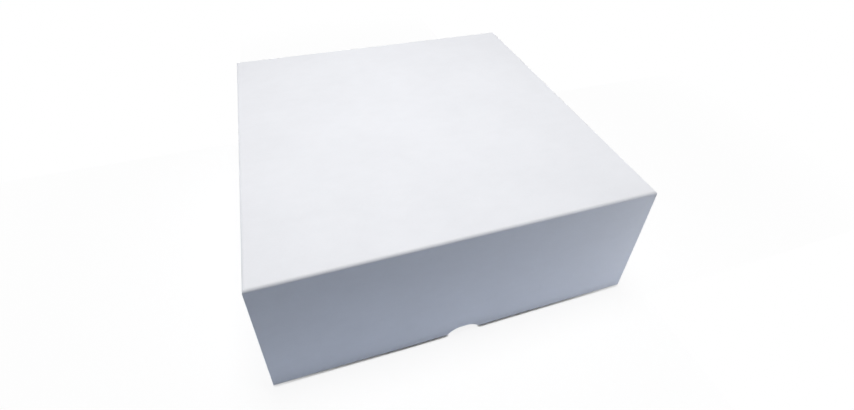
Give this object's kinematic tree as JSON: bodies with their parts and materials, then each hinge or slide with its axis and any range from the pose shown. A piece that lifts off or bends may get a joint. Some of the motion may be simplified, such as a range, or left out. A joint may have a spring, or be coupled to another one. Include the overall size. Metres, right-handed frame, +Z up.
{
  "type": "cake box",
  "caption": "Square cake box of folded white board: a base tray under a full-depth lid that lifts off, with a thumb notch in the lid's front rim.",
  "frame": {"origin": "middle of the underside of the closed box", "axes": "+Z up; the wall with the thumb notch is the front and faces -Y; +X is to the right, seen from the front"},
  "size_m": [0.26, 0.26, 0.1],
  "materials": {
    "base_board": "matt white coated board",
    "lid_board": "matt white coated board"
  },
  "bodies": {
    "base": {"base": "base_board"},
    "lid": {"lid": "lid_board"}
  },
  "joints": [
    {"name": "lid_lift", "type": "slide", "parent": "base", "child": "lid", "axis": [0, 0, 1], "range_m": [0, 0.105]}
  ]
}
